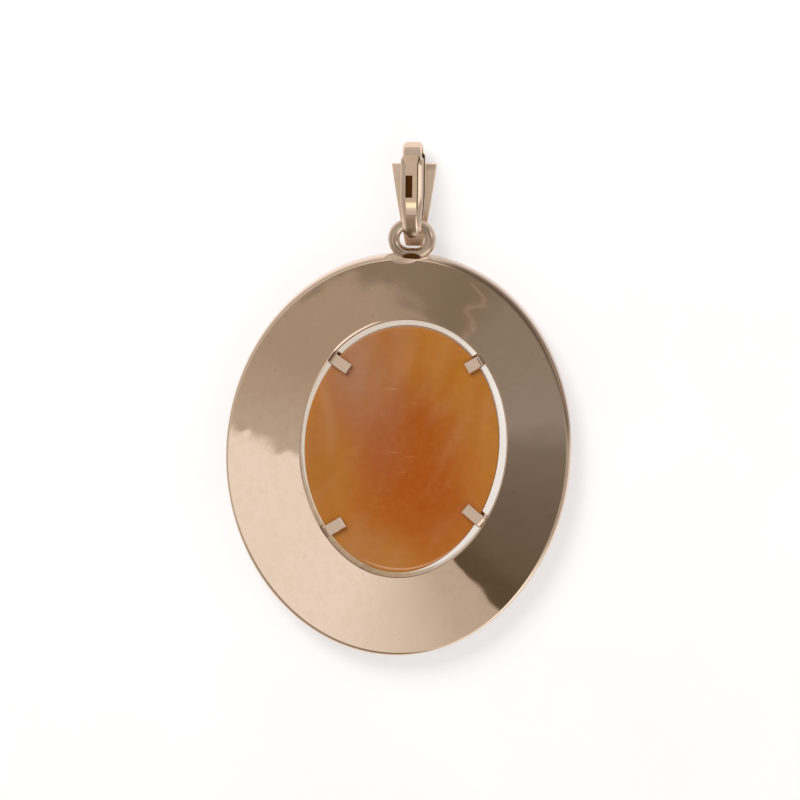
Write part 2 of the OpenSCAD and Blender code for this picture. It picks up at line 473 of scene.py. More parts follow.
@dataclass(frozen=True)
class GoldFinish:
    """Polished gold alloy with a faint grain, dark specks, hairlines and slight waves, darker and rougher
    where a piece has painted shade.
    """

    name: str
    tone: Colour = (0.82, 0.635, 0.495)
    mottling: Colour = (0.97, 0.96, 0.945)
    # colour of the dark specks, and of the painted shade
    tarnish_and_painted_shade: Colour = (0.11, 0.041, 0.010)
    specks: float = 0.2
    roughness: float = 0.012
    smudge: float = 0.010
    # extra roughness where shade is painted
    shaded: float = 0.25
    wave: float = 0.001
    grain: float = 0.02
    grain_deep: float = 0.004
    scratch: float = 0.03
    scratch_deep: float = 0.002
    scratch_angles: tuple[float, ...] = (0.5, 1.9, 2.8)

    def material(self) -> bpy.types.Material:
        """Make the material.

        Returns:
            The material.
        """
        paint = Paint(self.name)
        warm = paint.plus(paint.patches(90.0, 3.0, 0.35, 0.7), paint.patches(1300.0, 4.0, 0.45, 0.65), 1.1)
        mottled = tuple(part * shade for part, shade in zip(self.tone, self.mottling))
        tone = paint.mix(warm, self.tone, mottled)
        tone = paint.veil(tone, paint.patches(1900.0, 1.0, 0.74, 0.8), self.specks, self.tarnish_and_painted_shade)
        # painted shade: each piece notes on its points where it is darkened to stand in for shade or a dark
        # reflection
        shaded = paint.add("ShaderNodeAttribute", attribute_name="tarnish_and_painted_shade").outputs["Fac"]
        fine = paint.noise(6000.0)
        hair = paint.hairlines(self.scratch_angles, 0.78)
        rough = paint.plus(self.roughness, paint.patches(700.0, 5.0, 0.55, 0.75), self.smudge)
        rough = paint.plus(paint.plus(rough, fine, self.smudge), hair, self.scratch)
        reliefs = [
            (paint.noise(260.0, 1.0), 1.0, self.wave, False),
            (fine, self.grain, self.grain_deep, False),
            (hair, self.scratch, self.scratch_deep, True),
        ]
        return paint.finish(
            {
                "Base Color": paint.mix(shaded, tone, self.tarnish_and_painted_shade),
                "Metallic": 1.0,
                "Roughness": paint.plus(rough, shaded, self.shaded),
                "Normal": paint.bump(reliefs),
            }
        )


@dataclass(frozen=True)
class Cloud:
    """Soft patch of another tone in the shell, placed by shares of its half width and half length."""

    across: float
    along: float
    reach: float
    tone: Colour
    weight: float = 1.0


@dataclass(frozen=True)
class ShellFinish:
    """Glossy orange-brown shell, amber towards its edges, mauve and paler towards the upper left."""

    name: str
    oval: Oval
    amber: Colour = (0.430, 0.162, 0.023)
    clouds: tuple[Cloud, ...] = (
        Cloud(0.2, -0.35, 1.0, (0.352, 0.074, 0.003)),
        Cloud(0.17, 0.18, 0.65, (0.340, 0.072, 0.002), 0.9),
        Cloud(-0.25, 0.10, 0.6, (0.340, 0.090, 0.024), 0.8),
        Cloud(-0.45, 0.55, 0.65, (0.350, 0.135, 0.058), 0.9),
        Cloud(-0.52, 0.72, 0.42, (0.375, 0.185, 0.105), 0.7),
        Cloud(-0.15, 0.90, 0.45, (0.378, 0.156, 0.061), 0.8),
        Cloud(0.55, 0.60, 0.5, (0.421, 0.148, 0.014), 0.7),
        Cloud(-0.85, -0.15, 0.50, (0.372, 0.134, 0.020), 0.9),
        Cloud(-0.30, -0.85, 0.30, (0.404, 0.170, 0.055), 0.7),
        Cloud(0.0, -0.95, 0.4, (0.404, 0.164, 0.035), 0.8),
    )
    pale_streaks: Colour = (0.42, 0.178, 0.072)
    deep_streaks: Colour = (0.35, 0.105, 0.004)
    mottling: Colour = (0.62, 0.28, 0.10)
    seam_tone: Colour = (0.46, 0.22, 0.11)
    # colour of the painted highlight along the lower edge
    edge_highlight_tone: Colour = (0.80, 0.52, 0.38)
    nick_tone: Colour = (0.74, 0.38, 0.20)

    def material(self) -> bpy.types.Material:
        """Make the material.

        Returns:
            The material.
        """
        paint = Paint(self.name)
        place = paint.shares(self.oval)
        drift = paint.less(paint.noise(150.0, 3.0), 0.5)
        tone: object = self.amber
        for cloud in self.clouds:
            away = paint.vector("DISTANCE", place, (cloud.across, cloud.along, 0.0))
            inside = paint.ease(paint.plus(away, drift, 0.5), cloud.reach, 0.15 * cloud.reach)
            tone = paint.veil(tone, inside, cloud.weight, cloud.tone)
        rim = paint.vector("LENGTH", place)
        # painted highlight: a thin pale arc along the lower edge of the back
        worn = paint.times(paint.ease(rim, 0.968, 0.976), paint.ease(rim, 0.986, 0.978))
        worn = paint.times(worn, paint.ease(paint.dot(place, 0.25, -1.0, 0.0), 0.80, 0.93))
        nicks = paint.times(paint.hairlines((0.04, -0.04), 0.75), paint.ease(rim, 0.75, 0.5))
        for mask, weight, colour in (
            (paint.ease(paint.streaks(120.0, 4.0, 1.05), 0.45, 0.72), 0.32, self.pale_streaks),
            (paint.ease(paint.streaks(70.0, 6.0, 1.5), 0.48, 0.70), 0.32, self.deep_streaks),
            (paint.patches(1500.0, 3.0, 0.35, 0.65), 0.05, self.mottling),
            (self.seam(paint, place), 0.3, self.seam_tone),
            (worn, 0.45, self.edge_highlight_tone),
            (nicks, 0.3, self.nick_tone),
        ):
            tone = paint.veil(tone, mask, weight, colour)
        speckle = paint.noise(2500.0, 3.0)
        return paint.finish(
            {
                "Base Color": tone,
                "Roughness": paint.plus(0.14, speckle, 0.12),
                "IOR": 1.53,
                "Specular IOR Level": 0.15,
                "Subsurface Weight": 0.15,
                "Subsurface Radius": (1.0, 0.35, 0.08),
                "Subsurface Scale": 0.5 * MM,
                "Normal": paint.bump([(speckle, 0.1, 0.02, False)]),
            }
        )

    @staticmethod
    def seam(paint: Paint, place: Socket) -> Socket:
        """Draw the soft pale line where a layer ends at the left, bowed like the edge.

        Args:
            paint: The material in the making.
            place: Place in shares of the half width and half length.

        Returns:
            1 on the line, 0 beside it.
        """
        up = paint.dot(place, 0.0, 1.0, 0.0)
        across = paint.plus(paint.dot(place, 1.0, 0.0, 0.0), paint.math("POWER", up, 2.0), 0.56)
        line = paint.times(paint.ease(across, -0.82, -0.73), paint.ease(across, -0.62, -0.73))
        return paint.times(line, paint.times(paint.ease(up, -0.25, 0.05), paint.ease(up, 0.75, 0.55)))


@dataclass(frozen=True)
class CarvedFinish:
    """Cream layer of the shell that the relief is carved from, browner where it is thin."""

    name: str
    high: Colour = (0.83, 0.74, 0.62)
    low: Colour = (0.62, 0.36, 0.20)
    thick_at: float = 0.35
    thin_at: float = 0.6

    def material(self) -> bpy.types.Material:
        """Make the material.

        Returns:
            The material.
        """
        paint = Paint(self.name)
        height = paint.dot(paint.where, 0.0, 0.0, 1.0)
        thin = paint.ease(height, self.thick_at * MM, self.thin_at * MM)
        drift = paint.less(paint.noise(400.0, 3.0), 0.5)
        thin = paint.math("MULTIPLY_ADD", drift, 0.4, thin, clamp=True)
        return paint.finish(
            {
                "Base Color": paint.mix(thin, self.high, self.low),
                "Roughness": paint.plus(0.28, paint.noise(3000.0), 0.2),
                "Subsurface Weight": 0.2,
                "Subsurface Scale": 0.4 * MM,
            }
        )


class Forming(Graph):
    """Geometry Nodes tree that makes a piece, with a geometry input and named inputs of its own."""

    def __init__(self, name: str, inputs: dict[str, str]) -> None:
        """Start the tree, with one more input for the finish.

        Args:
            name: Name of the tree.
            inputs: Kind of each named input.
        """
        tree = bpy.data.node_groups.new(name, "GeometryNodeTree")
        for label, kind in {"Geometry": "Geometry", **inputs, "Finish": "Material"}.items():
            tree.interface.new_socket(label, in_out="INPUT", socket_type=f"NodeSocket{kind}")
        tree.interface.new_socket("Geometry", in_out="OUTPUT", socket_type="NodeSocketGeometry")
        super().__init__(tree)
        self.given = self.add("NodeGroupInput").outputs

    def run(self, piece: Piece, made: Socket, values: dict[str, object]) -> None:
        """End the tree, run it on a piece and keep what it makes as the piece's mesh.

        Args:
            piece: The piece.
            made: What the tree has made so far.
            values: Value of each named input.
        """
        real = self.add("GeometryNodeRealizeInstances", {"Geometry": made}).outputs[0]
        inputs = {"Geometry": real, "Material": self.given["Finish"]}
        finished = self.add("GeometryNodeSetMaterial", inputs).outputs[0]
        self.add("NodeGroupOutput", {"Geometry": finished})
        modifier = piece.modifiers.new(self.tree.name, "NODES")
        modifier.node_group = self.tree
        for item in self.tree.interface.items_tree:
            if item.in_out == "INPUT" and item.name in values:
                modifier[item.identifier] = values[item.name]
        settle(piece)


def set_copies(name: str, blank: Piece, spots: Sequence[tuple[Vector, Sequence[float], float]]) -> Piece:
    """Set copies of a blank on points, and remove the blank.

    Args:
        name: Name of the piece.
        blank: What is copied.
        spots: Place, size and turn about the upright of each copy.

    Returns:
        The piece.
    """
    piece = draft(name, [spot for spot, _, _ in spots])
    nodes = Forming(f"set_{name}", {"Copy": "Object"})
    read = {}
    for label, vectors in (
        ("size", [size for _, size, _ in spots]),
        ("twist", [(0.0, 0.0, turn) for _, _, turn in spots]),
    ):
        notes = piece.data.attributes.new(label, "FLOAT_VECTOR", "POINT")
        notes.data.foreach_set("vector", [part for vector in vectors for part in vector])
        reader = nodes.add("GeometryNodeInputNamedAttribute", {"Name": label}, data_type="FLOAT_VECTOR")
        read[label] = reader.outputs[0]
    copied = nodes.add("GeometryNodeObjectInfo", {"Object": nodes.given["Copy"]})
    inputs = {
        "Points": nodes.given["Geometry"],
        "Instance": copied.outputs["Geometry"],
        "Rotation": nodes.add("FunctionNodeEulerToRotation", {0: read["twist"]}).outputs[0],
        "Scale": read["size"],
    }
    nodes.run(piece, nodes.add("GeometryNodeInstanceOnPoints", inputs).outputs[0], {"Copy": blank})
    bpy.data.objects.remove(blank)
    return piece


@dataclass(frozen=True)
class Dent:
    """Shallow round dent in the plate."""

    x: float
    y: float
    reach: float
    depth: float

    def at(self, point: Vector) -> float:
        """How far the plate sinks at a point."""
        away = ((point.x - self.x) ** 2 + (point.y - self.y) ** 2) / self.reach**2
        return self.depth * math.exp(-away)


@dataclass
class Border(Part):
    """Wide dished border of the frame, with its rim, collar and opening."""

    length: float = 43.1
    height: float = 2.8
    side_spare: float = 0.01
    end_spare: float = 0.16
    edge_round: float = 0.42
    edge_slim: tuple[tuple[float, float], ...] = ((186.0, 0.18), (300.0, 0.22))
    foot_round: float = 0.5
    round_steps: int = 10
    dish_slope: float = 3.0
    plate: float = 1.0
    rim: float = 1.0
    collar: float = 0.8
    outer_off: tuple[float, float, float] = (-0.20, -0.08, 0.0)
    outer_worn: tuple[float, float, float] = (0.137, 0.08, 39.0)
    solid_opening_l: float = 27.8
    opening_w: float = 21.6
    opening_l: float = 27.54
    opening_off: tuple[float, float, float] = (0.25, 0.7, 0.0)
    opening_worn: tuple[float, float, float] = (0.134, 0.10, 29.0)
    opening_round: float = 0.12
    brink_worn: float = 0.24
    brink_worn_at: float = 126.0
    brink_steps: int = 8
    soft: float = 0.06
    hold: float = 0.02
    wave: float = 0.0025
    around: int = 600
    across: int = 30
    # painted dark reflection on the rounded outer edge at the upper right: its strength and its span of
    # bearings
    edge_dark: float = 0.75
    dark_from: tuple[float, float] = (2.0, 14.0)
    dark_to: tuple[float, float] = (72.0, 86.0)
    # painted shade on the wall of the opening: its least and its patchy share
    wall_shade: tuple[float, float] = (0.34, 0.5)
    dents: tuple[Dent, ...] = (
        Dent(-16.4, -4.2, 0.45, 0.0010),
        Dent(-17.0, -2.2, 0.50, 0.0009),
        Dent(-12.3, -6.6, 0.80, 0.0014),
        Dent(-13.2, -19.3, 0.20, 0.0100),
        Dent(15.4, 3.0, 1.10, 0.0010),
    )
    outer: Oval = field(init=False)
    opening: Oval = field(init=False)
    top: float = field(init=False)
    turns: list[float] = field(init=False)

    def __post_init__(self) -> None:
        """Work out the two worn ovals and the top from the solid's box."""
        low, high = corners(Node.FRAME)
        middle = Vector((0.0, low.y + self.length / 2, 0.0))
        self.top = low.y + self.length
        self.turns = all_round(self.around)
        half_w, half_l = (high.x - low.x) / 2 - self.side_spare, self.length / 2 - self.end_spare
        self.outer = Oval(half_w, half_l, middle + Vector(self.outer_off), *self.outer_worn)
        hole = middle + Vector(self.opening_off)
        self.opening = Oval(self.opening_w / 2, self.opening_l / 2, hole, *self.opening_worn)

    def edge_at(self, turn: float) -> float:
        """Radius of the plate's rounded outer edge, slimmer at the left and at the lower right."""
        slims = [less * max(math.cos(turn - math.radians(at)), 0.0) ** 10 for at, less in self.edge_slim]
        return self.edge_round - sum(slims)

    def brink_at(self, turn: float) -> float:
        """Radius of the opening's rounded edge, worn rounder at the upper left."""
        away = abs(math.degrees(turn % FULL_TURN) - self.brink_worn_at)
        return self.opening_round + self.brink_worn * (1 - smooth(away, 10, 24))

    def plate_height(self, point: Vector, turn: float) -> float:
        """Height of the dished plate.

        Args:
            point: Where to read it.
            turn: Direction of the outer edge's normal there.

        Returns:
            The height.
        """
        depth = (self.outer.point(turn) - point).dot(heading(turn)) - self.edge_at(turn)
        fall = depth * math.tan(math.radians(self.dish_slope))
        swell = noise.noise(point * 0.16) + 0.4 * noise.noise(point * 0.42)
        waves = self.wave * smooth(depth, 0.0, 1.5) * swell
        sunk = sum(dent.at(point) for dent in self.dents)
        return self.height - fall + waves - sunk * smooth(depth, -0.1, 0.3)

    def plate_drop(self) -> float:
        """How far the dish falls from the edge to the opening."""
        span = self.length / 2 - self.solid_opening_l / 2 - self.edge_round
        return span * math.tan(math.radians(self.dish_slope))

    def plate_rows(self) -> list[list[Vector]]:
        """List the loops of the dished plate and of the rounded edge of the opening.

        Returns:
            The loops.
        """
        held = self.hold / (self.outer.half_w - self.opening.half_w)
        steps = [i / self.across for i in range(1, self.across)]
        brinks = [self.brink_at(turn) for turn in self.turns]
        starts = [self.outer.point(turn, self.edge_at(turn)) for turn in self.turns]
        ends = [self.opening.point(turn, -brink) for turn, brink in zip(self.turns, brinks)]
        rows = []
        for share in (held, *steps, 1 - held, 1.0):
            flat = [start.lerp(end, share) for start, end in zip(starts, ends)]
            rows.append([point + rise(self.plate_height(point, t)) for point, t in zip(flat, self.turns)])
        last = rows[-1]
        for drop, back in quarter(self.brink_steps)[1:]:
            row = []
            for turn, brink, point in zip(self.turns, brinks, last):
                row.append(self.opening.point(turn, -brink * back, point.z - brink * drop))
            rows.append(row)
        return rows

    def rows(self) -> list[list[Vector]]:
        """List the loops of the profile, from the rim's outer foot over the back to the front.

        Returns:
            The loops.
        """
        rows = []
        bends = quarter(self.round_steps)
        for lift, inset in bends:
            inset, lift = self.foot_round * inset, self.foot_round * lift
            rows.append([self.outer.point(turn, inset, lift) for turn in self.turns])
        edges = [(turn, self.edge_at(turn)) for turn in self.turns]
        for inset, fall in bends:
            rows.append([self.outer.point(turn, e * inset, self.height - e * fall) for turn, e in edges])
        rows += self.plate_rows()
        under = self.height - self.plate - self.plate_drop()
        for oval, inset, height in (
            (self.opening, 0.0, self.soft),
            (self.opening, -self.soft, 0.0),
            (self.opening, self.soft - self.collar, 0.0),
            (self.opening, -self.collar, self.soft),
            (self.opening, -self.collar, under),
            (self.outer, self.rim, under),
            (self.outer, self.rim, self.soft),
            (self.outer, self.rim - self.soft, 0.0),
        ):
            rows.append([oval.point(turn, inset, height) for turn in self.turns])
        return rows

    def shade_at(self, point: Vector) -> float:
        """Painted shade: patchy on the wall of the opening, and a painted dark reflection on the outer edge
        at the upper right.

        Args:
            point: Where to read it.

        Returns:
            The painted shade, from 0 to 1.
        """
        brink = self.height - self.plate_drop()
        near = math.hypot(*self.opening.shares(point, 0.35))
        # painted shade on the wall of the opening, below the brink
        wall = (1 - smooth(near, 0.985, 1.0)) * (1 - smooth(point.z, brink - 0.14, brink - 0.04))
        across, along = self.outer.shares(point)
        turn = math.degrees(math.atan2(along, across))
        # painted dark reflection on the outer edge at the upper right
        dark = smooth(turn, *self.dark_from) * (1 - smooth(turn, *self.dark_to)) * smooth(point.z, 0.8, 1.6)
        dark *= self.edge_dark * smooth(math.hypot(across, along), 0.978, 0.990)
        least, patchy = self.wall_shade
        return max(dark, wall * (least + patchy * abs(noise.noise(point * 0.9))))

    def build(self) -> Piece:
        """Make the border as one closed skin.

        Returns:
            The piece.
        """
        piece = Skin(self.rows(), endless=True).piece("border")
        paint_shade(piece, self.shade_at)
        return piece


@dataclass
class Claws(Part):
    """Four flat claws, folded from the wall of the opening over the back of the shell."""

    crease: ClassVar[float] = 25.0
    width: float = 1.2
    thick: float = 0.35
    reach: float = 2.0
    toe: float = 1.15
    under: float = 2.576
    toe_top: float = 0.7725
    bend: float = 0.22
    bend_steps: int = 6
    soft: float = 0.10
    hold: float = 0.03
    tip: float = 0.001
    foot: float = 0.05
    # painted shade on the bend at each claw's root
    root_dark: float = 0.75
    places: tuple[tuple[float, float, float], ...] = (
        (39, -6, 1.9), (144, 5, 2.2), (216, -2, 2.45), (332, -10, 2.6),
    )

    def path(self) -> list[tuple[Vector, Vector, float]]:
        """Line through the middle of the metal, from the toe to the tip, seen from the side.

        Returns:
            Places in the plane of x and z, with the outward direction and the fall of the outer face there.
        """
        half = self.thick / 2
        low, high = self.toe_top - half, self.under + half
        path = [(Vector((-self.toe, 0.0, low)), rise(-1.0), 0.0)]
        for start, height, lift in ((-90.0, low, self.bend), (0.0, high, -self.bend)):
            centre = Vector((-half - self.bend, 0.0, height + lift))
            for i in range(self.bend_steps + 1):
                turn = math.radians(start + 90.0 * i / self.bend_steps)
                out = Vector((math.cos(turn), 0.0, math.sin(turn)))
                path.append((centre + out * self.bend, out, 0.0))
        for along, fall in (
            (-half - self.bend - self.hold, 0.0),
            (self.soft - self.reach, 0.0),
            (-self.reach, self.soft),
        ):
            path.append((Vector((along, 0.0, high)), rise(1.0), fall))
        return path

    def section(self, fall: float) -> list[tuple[float, float]]:
        """Corners of the metal's section, across and outwards, with its bevelled edges.

        Args:
            fall: How far the outer face falls below the metal's full thickness.

        Returns:
            The corners, in order.
        """
        side, high, cut = self.width / 2, self.thick / 2, self.soft
        outer = [(side, high - cut - fall / 2), (side - cut, high - fall)]
        outer += [(-across, up) for across, up in reversed(outer)]
        return outer + [(-side, cut - high), (cut - side, -high), (side - cut, -high), (side, cut - high)]

    def blank(self) -> Piece:
        """Make one claw, its foot at the origin and its tip towards -x.

        Returns:
            The claw.
        """
        path = self.path()
        rows = []
        for point, out, fall in path:
            rows.append([point + out * up + Vector((0.0, side, 0.0)) for side, up in self.section(fall)])
        skin = Skin(rows)
        skin.close(*(path[end][0] - Vector((self.tip, 0.0, self.soft / 2)) for end in (0, -1)))
        claw = skin.piece("claw_blank")
        # painted shade on the bend at the claw's root
        paint_shade(claw, lambda point: self.root_dark * smooth(point.x, -0.35, -0.05))
        return claw

    def build(self, opening: Oval) -> Piece:
        """Set the claws round the opening.

        Args:
            opening: The oval whose wall carries them.

        Returns:
            The piece.
        """
        spots = []
        for turn, turned, reach in self.places:
            foot = opening.point(math.radians(turn), -self.foot)
            spots.append((foot, (reach / self.reach, 1.0, 1.0), math.radians(turn + turned)))
        return set_copies("claws", self.blank(), spots)


@dataclass
class WireRing(Part):
    """Slightly squashed ring of round wire, soldered to the top of the frame, with painted shade at its
    foot.
    """

    wire: float = 1.2
    hole_w: float = 2.6
    hole_l: float = 1.9
    off: float = 0.48
    middle_z: float = 2.5
    steps: int = 96
    sides: int = 40
    # place and size of the painted shade in the crevice where the ring's foot meets the frame
    crevice: tuple[float, float] = (0.1, -0.38)
    crevice_size: tuple[float, float] = (1.1, 0.5)

    def build(self, top: float) -> Piece:
        """Bend the wire into its ring.

        Args:
            top: Top of the frame's oval along y.

        Returns:
            The piece.
        """
        centre = Vector((0.0, top + self.off + self.hole_l / 2, self.middle_z))
        bow, straight = (self.hole_l + self.wire) / 2, (self.hole_w - self.hole_l) / 2
        points = []
        for turn in all_round(self.steps):
            out = heading(turn)
            side = math.copysign(straight, out.x) if abs(out.x) > 1e-6 else 0.0
            points.append(centre + out * bow + Vector((side, 0.0, 0.0)))
        piece = draft("wire_ring", points, [(i, (i + 1) % self.steps) for i in range(self.steps)])
        nodes = Forming("draw_wire", {"Wire radius": "Float", "Sides": "Int"})
        line = nodes.add("GeometryNodeMeshToCurve", {"Mesh": nodes.given["Geometry"]}).outputs[0]
        inputs = {"Resolution": nodes.given["Sides"], "Radius": nodes.given["Wire radius"]}
        section = nodes.add("GeometryNodeCurvePrimitiveCircle", inputs).outputs[0]
        wire = nodes.add("GeometryNodeCurveToMesh", {"Curve": line, "Profile Curve": section}).outputs[0]
        nodes.run(piece, wire, {"Wire radius": self.wire / 2 * MM, "Sides": self.sides})
        true_up(piece)
        crevice = Oval(*self.crevice_size, Vector((self.crevice[0], top + self.crevice[1], 0.0)))
        # painted shade in the crevice where the ring's foot meets the frame
        paint_shade(piece, lambda point: 1 - smooth(math.hypot(*crevice.shares(point)), 0.75, 1.0))
        return piece


@dataclass
class SolderSeat(Part):
    """Low mound of solder where the ring meets the frame, run out to the left."""

    crease: ClassVar[float] = 80.0
    half_w: float = 2.4
    half_l: float = 0.74
    high: float = 0.27
    left: float = 0.5
    below_top: float = 0.60
    sunk: float = 0.2
    lean: float = 8.0
    uneven: float = 0.05
    steps: int = 24
    around: int = 96

    def build(self, border: Border) -> Piece:
        """Make the mound on the frame's edge.

        Args:
            border: The border that carries it.

        Returns:
            The piece.
        """
        seat = Vector((-self.left, border.top - self.below_top, border.height - self.sunk))
        lean = Matrix.Rotation(math.radians(self.lean), 3, "Z")
        rows = []
        for i in range(1, self.steps):
            flat, lift = math.sin(math.pi * i / self.steps), math.cos(math.pi * i / self.steps)
            row = []
            for turn in all_round(self.around):
                spread = flat * (1 + self.uneven * math.sin(3 * turn + 0.9))
                across, along = self.half_w * math.cos(turn), self.half_l * math.sin(turn)
                row.append(seat + lean @ Vector((across * spread, along * spread, self.high * lift)))
            rows.append(row)
        skin = Skin(rows)
        skin.close(seat + rise(self.high), seat - rise(self.high))
        return skin.piece("solder_seat")


@dataclass
class Shell(Part):
    """Thin oval shell: hollowed back, rounded edge and domed front."""

    node: ClassVar[Node] = Node.CAMEO
    slot: ClassVar[Slot] = Slot.SHELL
    crease: ClassVar[float] = 60.0
    back: float = 2.13
    front: float = 0.57
    back_curve: float = 220.0
    front_curve: float = 200.0
    soft: float = 0.16
    soft_steps: int = 6
    around: int = 220
    across: int = 26
    wider: float = 0.15
    shorter: float = 0.04
    off: tuple[float, float] = (0.12, -0.075)
    worn: tuple[float, float, float] = (0.14, 0.12, 36.0)
    oval: Oval = field(init=False)

    def __post_init__(self) -> None:
        """Work out the worn oval from the solid's box."""
        low, high = corners(Node.CAMEO)
        middle = (low + high).xy / 2 + Vector(self.off)
        half_w, half_l = (high.x - low.x) / 2 + self.wider, (high.y - low.y) / 2 - self.shorter
        self.oval = Oval(half_w, half_l, middle.to_3d(), *self.worn)

    def back_at(self, point: Vector) -> float:
        """Height of the hollowed back at a point."""
        return self.back + (point - self.oval.middle).xy.length_squared / (2 * self.back_curve)

    def front_at(self, point: Vector) -> float:
        """Height of the domed front at a point."""
        return self.front + (point - self.oval.middle).xy.length_squared / (2 * self.front_curve)

    def build(self) -> Piece:
        """Make the shell.

        Returns:
            The piece.
        """
        turns = all_round(self.around)
        edge = 1 - self.soft / self.oval.half_w
        shares = [edge * i / self.across for i in range(1, self.across + 1)]
        flats = [[self.oval.part_way(turn, share) for turn in turns] for share in shares]
        rows = [[point + rise(self.back_at(point)) for point in flat] for flat in flats]
        bends = quarter(self.soft_steps)[1:]
        for side, surface, steps in ((1, self.back_at, bends), (-1, self.front_at, bends[::-1])):
            for drop, inset in steps:
                line = [self.oval.point(turn, self.soft * inset) for turn in turns]
                rows.append([point + rise(surface(point) - side * self.soft * drop) for point in line])
        rows += [[point + rise(self.front_at(point)) for point in flat] for flat in reversed(flats)]
        skin = Skin(rows)
        skin.close(self.oval.middle + rise(self.back), self.oval.middle + rise(self.front))
        return skin.piece("shell")


@dataclass
class Relief(Part):
    """Low flower with leaves, carved in the pale layer of the hidden front."""

    node: ClassVar[Node] = Node.CAMEO
    slot: ClassVar[Slot] = Slot.SHELL
    crease: ClassVar[float] = 60.0
    relief: float = 0.32
    heart_w: float = 2.6
    petal_w: float = 3.8
    petal_gap: float = 0.25
    petals: int = 5
    leaf_l: float = 4.4
    leaf_w: float = 2.2
    leaf_share: float = 0.7
    steps: int = 14
    around: int = 40
    bud_top: float = 0.88
    bud_foot: float = 0.6

    def bud(self) -> Piece:
        """Make a cushion of unit size whose top shows towards -z, with a ridge along x.

        Returns:
            The cushion.
        """
        rows = []
        for share in (i / self.steps for i in range(1, self.steps + 1)):
            row = []
            for turn in all_round(self.around):
                x, y = share * math.cos(turn), share * math.sin(turn)
                pinch = 1 - 0.35 * abs(x) ** 3 * (1 if x < 0 else 0.3)
                lift = (1 - share**2) * (0.82 + 0.18 * abs(y) ** 0.5) + 0.06 * math.cos(9 * y)
                row.append(Vector((x, y * pinch, -lift * (1 - share**8))))
            rows.append(row)
        rows.append([point + rise(self.bud_foot) for point in rows[-1]])
        skin = Skin(rows)
        skin.close(rise(-self.bud_top), rise(self.bud_foot))
        return skin.piece("bud")

    def build(self, shell: Shell) -> Piece:
        """Set the flower and its leaves on the front of the shell.

        Args:
            shell: The shell that carries them.

        Returns:
            The piece.
        """
        petal_out = max(
            (self.heart_w + self.petal_w) / 2 + self.petal_gap,
            (self.petal_w + self.petal_gap) / (2 * math.sin(math.pi / self.petals)),
        )
        leaf_out = petal_out + self.petal_w / 4 + self.leaf_l / 2
        heart = (self.heart_w / 2, self.heart_w / 2, self.relief)
        petal = (self.petal_w / 2, self.petal_w / 2, self.relief)
        leaf = (self.leaf_l / 2, self.leaf_w / 2, self.relief * self.leaf_share)
        places = [(0.0, heart, 0.0)]
        for i in range(self.petals):
            for first, out, size in ((90, petal_out, petal), (54, leaf_out, leaf)):
                places.append((out, size, math.radians(first + 360 / self.petals * i)))
        spots = []
        for out, size, turn in places:
            ground = shell.oval.middle + heading(turn) * out
            spots.append((ground + rise(shell.front_at(ground)), size, turn))
        return set_copies("relief", self.bud(), spots)


